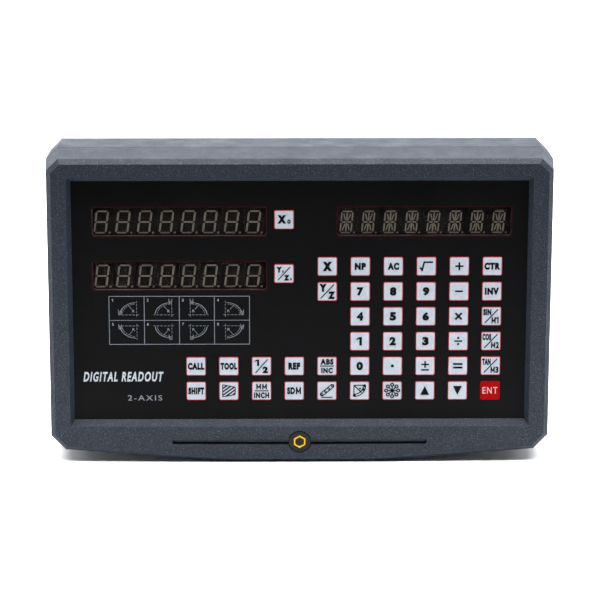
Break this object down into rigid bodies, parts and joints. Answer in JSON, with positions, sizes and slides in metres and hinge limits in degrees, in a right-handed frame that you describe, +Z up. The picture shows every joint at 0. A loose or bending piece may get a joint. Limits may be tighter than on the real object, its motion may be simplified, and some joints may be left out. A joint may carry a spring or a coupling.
{
  "type": "digital readout console",
  "caption": "Digital readout console for machine tools: recessed keypad panel with number and text windows, chin groove with round badge, rear connector bay.",
  "frame": {"origin": "centre of the case's plan at the level of the flat it stands on", "axes": "+X along the case to the viewer's right, +Y from the keypad to the connectors, +Z up"},
  "size_m": [0.2978, 0.053, 0.1873],
  "materials": {
    "case_plastic": "spark-textured metallic slate grey ABS",
    "panel_film": "fine matte black printed film",
    "plate_aluminium": "plain mill finish",
    "window_filter": "smoked clear",
    "display_module": "matte dark face",
    "circuit_board": "green solder mask",
    "switch_plastic": "matte moulded",
    "key_white": "satin printed",
    "key_red": "satin printed",
    "inlet_plastic": "satin moulded",
    "rocker_plastic": "polished moulded",
    "socket_metal": "nickel plated",
    "screw_steel": "zinc plated",
    "badge_plastic": "gloss black"
  },
  "bodies": {
    "case": {"front_bezel": "case_plastic", "back_cover": "case_plastic", "front_overlay": "panel_film", "panel_plate": "plate_aluminium", "display_windows": "window_filter", "digit_displays": "display_module", "text_display": "display_module", "main_board": "circuit_board", "key_switches": "switch_plastic", "power_supply": "circuit_board", "power_inlet": "inlet_plastic", "scale_sockets": "socket_metal", "case_screws": "screw_steel", "panel_fasteners": "screw_steel", "chin_badge": "badge_plastic"},
    "rocker": {"power_rocker": "rocker_plastic"},
    "key_x": {"key_x": "key_white"},
    "key_np": {"key_np": "key_white"},
    "key_ac": {"key_ac": "key_white"},
    "key_root": {"key_root": "key_white"},
    "key_plus": {"key_plus": "key_white"},
    "key_ctr": {"key_ctr": "key_white"},
    "key_yz": {"key_yz": "key_white"},
    "key_7": {"key_7": "key_white"},
    "key_8": {"key_8": "key_white"},
    "key_9": {"key_9": "key_white"},
    "key_minus": {"key_minus": "key_white"},
    "key_inv": {"key_inv": "key_white"},
    "key_4": {"key_4": "key_white"},
    "key_5": {"key_5": "key_white"},
    "key_6": {"key_6": "key_white"},
    "key_times": {"key_times": "key_white"},
    "key_sin": {"key_sin": "key_white"},
    "key_1": {"key_1": "key_white"},
    "key_2": {"key_2": "key_white"},
    "key_3": {"key_3": "key_white"},
    "key_divide": {"key_divide": "key_white"},
    "key_cos": {"key_cos": "key_white"},
    "key_call": {"key_call": "key_white"},
    "key_tool": {"key_tool": "key_white"},
    "key_half": {"key_half": "key_white"},
    "key_ref": {"key_ref": "key_white"},
    "key_abs_inc": {"key_abs_inc": "key_white"},
    "key_0": {"key_0": "key_white"},
    "key_point": {"key_point": "key_white"},
    "key_plus_minus": {"key_plus_minus": "key_white"},
    "key_equals": {"key_equals": "key_white"},
    "key_tan": {"key_tan": "key_white"},
    "key_shift": {"key_shift": "key_white"},
    "key_taper": {"key_taper": "key_white"},
    "key_mm_inch": {"key_mm_inch": "key_white"},
    "key_sdm": {"key_sdm": "key_white"},
    "key_slope": {"key_slope": "key_white"},
    "key_arc": {"key_arc": "key_white"},
    "key_bolt_circle": {"key_bolt_circle": "key_white"},
    "key_up": {"key_up": "key_white"},
    "key_down": {"key_down": "key_white"},
    "key_enter": {"key_enter": "key_red"},
    "key_x_zero": {"key_x_zero": "key_white"},
    "key_yz_zero": {"key_yz_zero": "key_white"}
  },
  "joints": [
    {"name": "key_x_press", "type": "slide", "parent": "case", "child": "key_x", "axis": [0, 1, 0], "range_m": [0, 0.0005], "stiffness_N_per_m": 2000, "springref_m": -0.0003},
    {"name": "key_np_press", "type": "slide", "parent": "case", "child": "key_np", "axis": [0, 1, 0], "range_m": [0, 0.0005], "stiffness_N_per_m": 2000, "springref_m": -0.0003},
    {"name": "key_ac_press", "type": "slide", "parent": "case", "child": "key_ac", "axis": [0, 1, 0], "range_m": [0, 0.0005], "stiffness_N_per_m": 2000, "springref_m": -0.0003},
    {"name": "key_root_press", "type": "slide", "parent": "case", "child": "key_root", "axis": [0, 1, 0], "range_m": [0, 0.0005], "stiffness_N_per_m": 2000, "springref_m": -0.0003},
    {"name": "key_plus_press", "type": "slide", "parent": "case", "child": "key_plus", "axis": [0, 1, 0], "range_m": [0, 0.0005], "stiffness_N_per_m": 2000, "springref_m": -0.0003},
    {"name": "key_ctr_press", "type": "slide", "parent": "case", "child": "key_ctr", "axis": [0, 1, 0], "range_m": [0, 0.0005], "stiffness_N_per_m": 2000, "springref_m": -0.0003},
    {"name": "key_yz_press", "type": "slide", "parent": "case", "child": "key_yz", "axis": [0, 1, 0], "range_m": [0, 0.0005], "stiffness_N_per_m": 2000, "springref_m": -0.0003},
    {"name": "key_7_press", "type": "slide", "parent": "case", "child": "key_7", "axis": [0, 1, 0], "range_m": [0, 0.0005], "stiffness_N_per_m": 2000, "springref_m": -0.0003},
    {"name": "key_8_press", "type": "slide", "parent": "case", "child": "key_8", "axis": [0, 1, 0], "range_m": [0, 0.0005], "stiffness_N_per_m": 2000, "springref_m": -0.0003},
    {"name": "key_9_press", "type": "slide", "parent": "case", "child": "key_9", "axis": [0, 1, 0], "range_m": [0, 0.0005], "stiffness_N_per_m": 2000, "springref_m": -0.0003},
    {"name": "key_minus_press", "type": "slide", "parent": "case", "child": "key_minus", "axis": [0, 1, 0], "range_m": [0, 0.0005], "stiffness_N_per_m": 2000, "springref_m": -0.0003},
    {"name": "key_inv_press", "type": "slide", "parent": "case", "child": "key_inv", "axis": [0, 1, 0], "range_m": [0, 0.0005], "stiffness_N_per_m": 2000, "springref_m": -0.0003},
    {"name": "key_4_press", "type": "slide", "parent": "case", "child": "key_4", "axis": [0, 1, 0], "range_m": [0, 0.0005], "stiffness_N_per_m": 2000, "springref_m": -0.0003},
    {"name": "key_5_press", "type": "slide", "parent": "case", "child": "key_5", "axis": [0, 1, 0], "range_m": [0, 0.0005], "stiffness_N_per_m": 2000, "springref_m": -0.0003},
    {"name": "key_6_press", "type": "slide", "parent": "case", "child": "key_6", "axis": [0, 1, 0], "range_m": [0, 0.0005], "stiffness_N_per_m": 2000, "springref_m": -0.0003},
    {"name": "key_times_press", "type": "slide", "parent": "case", "child": "key_times", "axis": [0, 1, 0], "range_m": [0, 0.0005], "stiffness_N_per_m": 2000, "springref_m": -0.0003},
    {"name": "key_sin_press", "type": "slide", "parent": "case", "child": "key_sin", "axis": [0, 1, 0], "range_m": [0, 0.0005], "stiffness_N_per_m": 2000, "springref_m": -0.0003},
    {"name": "key_1_press", "type": "slide", "parent": "case", "child": "key_1", "axis": [0, 1, 0], "range_m": [0, 0.0005], "stiffness_N_per_m": 2000, "springref_m": -0.0003},
    {"name": "key_2_press", "type": "slide", "parent": "case", "child": "key_2", "axis": [0, 1, 0], "range_m": [0, 0.0005], "stiffness_N_per_m": 2000, "springref_m": -0.0003},
    {"name": "key_3_press", "type": "slide", "parent": "case", "child": "key_3", "axis": [0, 1, 0], "range_m": [0, 0.0005], "stiffness_N_per_m": 2000, "springref_m": -0.0003},
    {"name": "key_divide_press", "type": "slide", "parent": "case", "child": "key_divide", "axis": [0, 1, 0], "range_m": [0, 0.0005], "stiffness_N_per_m": 2000, "springref_m": -0.0003},
    {"name": "key_cos_press", "type": "slide", "parent": "case", "child": "key_cos", "axis": [0, 1, 0], "range_m": [0, 0.0005], "stiffness_N_per_m": 2000, "springref_m": -0.0003},
    {"name": "key_call_press", "type": "slide", "parent": "case", "child": "key_call", "axis": [0, 1, 0], "range_m": [0, 0.0005], "stiffness_N_per_m": 2000, "springref_m": -0.0003},
    {"name": "key_tool_press", "type": "slide", "parent": "case", "child": "key_tool", "axis": [0, 1, 0], "range_m": [0, 0.0005], "stiffness_N_per_m": 2000, "springref_m": -0.0003},
    {"name": "key_half_press", "type": "slide", "parent": "case", "child": "key_half", "axis": [0, 1, 0], "range_m": [0, 0.0005], "stiffness_N_per_m": 2000, "springref_m": -0.0003},
    {"name": "key_ref_press", "type": "slide", "parent": "case", "child": "key_ref", "axis": [0, 1, 0], "range_m": [0, 0.0005], "stiffness_N_per_m": 2000, "springref_m": -0.0003},
    {"name": "key_abs_inc_press", "type": "slide", "parent": "case", "child": "key_abs_inc", "axis": [0, 1, 0], "range_m": [0, 0.0005], "stiffness_N_per_m": 2000, "springref_m": -0.0003},
    {"name": "key_0_press", "type": "slide", "parent": "case", "child": "key_0", "axis": [0, 1, 0], "range_m": [0, 0.0005], "stiffness_N_per_m": 2000, "springref_m": -0.0003},
    {"name": "key_point_press", "type": "slide", "parent": "case", "child": "key_point", "axis": [0, 1, 0], "range_m": [0, 0.0005], "stiffness_N_per_m": 2000, "springref_m": -0.0003},
    {"name": "key_plus_minus_press", "type": "slide", "parent": "case", "child": "key_plus_minus", "axis": [0, 1, 0], "range_m": [0, 0.0005], "stiffness_N_per_m": 2000, "springref_m": -0.0003},
    {"name": "key_equals_press", "type": "slide", "parent": "case", "child": "key_equals", "axis": [0, 1, 0], "range_m": [0, 0.0005], "stiffness_N_per_m": 2000, "springref_m": -0.0003},
    {"name": "key_tan_press", "type": "slide", "parent": "case", "child": "key_tan", "axis": [0, 1, 0], "range_m": [0, 0.0005], "stiffness_N_per_m": 2000, "springref_m": -0.0003},
    {"name": "key_shift_press", "type": "slide", "parent": "case", "child": "key_shift", "axis": [0, 1, 0], "range_m": [0, 0.0005], "stiffness_N_per_m": 2000, "springref_m": -0.0003},
    {"name": "key_taper_press", "type": "slide", "parent": "case", "child": "key_taper", "axis": [0, 1, 0], "range_m": [0, 0.0005], "stiffness_N_per_m": 2000, "springref_m": -0.0003},
    {"name": "key_mm_inch_press", "type": "slide", "parent": "case", "child": "key_mm_inch", "axis": [0, 1, 0], "range_m": [0, 0.0005], "stiffness_N_per_m": 2000, "springref_m": -0.0003},
    {"name": "key_sdm_press", "type": "slide", "parent": "case", "child": "key_sdm", "axis": [0, 1, 0], "range_m": [0, 0.0005], "stiffness_N_per_m": 2000, "springref_m": -0.0003},
    {"name": "key_slope_press", "type": "slide", "parent": "case", "child": "key_slope", "axis": [0, 1, 0], "range_m": [0, 0.0005], "stiffness_N_per_m": 2000, "springref_m": -0.0003},
    {"name": "key_arc_press", "type": "slide", "parent": "case", "child": "key_arc", "axis": [0, 1, 0], "range_m": [0, 0.0005], "stiffness_N_per_m": 2000, "springref_m": -0.0003},
    {"name": "key_bolt_circle_press", "type": "slide", "parent": "case", "child": "key_bolt_circle", "axis": [0, 1, 0], "range_m": [0, 0.0005], "stiffness_N_per_m": 2000, "springref_m": -0.0003},
    {"name": "key_up_press", "type": "slide", "parent": "case", "child": "key_up", "axis": [0, 1, 0], "range_m": [0, 0.0005], "stiffness_N_per_m": 2000, "springref_m": -0.0003},
    {"name": "key_down_press", "type": "slide", "parent": "case", "child": "key_down", "axis": [0, 1, 0], "range_m": [0, 0.0005], "stiffness_N_per_m": 2000, "springref_m": -0.0003},
    {"name": "key_enter_press", "type": "slide", "parent": "case", "child": "key_enter", "axis": [0, 1, 0], "range_m": [0, 0.0005], "stiffness_N_per_m": 2000, "springref_m": -0.0003},
    {"name": "key_x_zero_press", "type": "slide", "parent": "case", "child": "key_x_zero", "axis": [0, 1, 0], "range_m": [0, 0.0005], "stiffness_N_per_m": 2000, "springref_m": -0.0003},
    {"name": "key_yz_zero_press", "type": "slide", "parent": "case", "child": "key_yz_zero", "axis": [0, 1, 0], "range_m": [0, 0.0005], "stiffness_N_per_m": 2000, "springref_m": -0.0003},
    {"name": "power_rocker_tip", "type": "hinge", "parent": "case", "child": "rocker", "pos_m": [-0.0638, 0.0167, 0.043], "axis": [1, 0, 0], "range_deg": [-16, 0]}
  ]
}
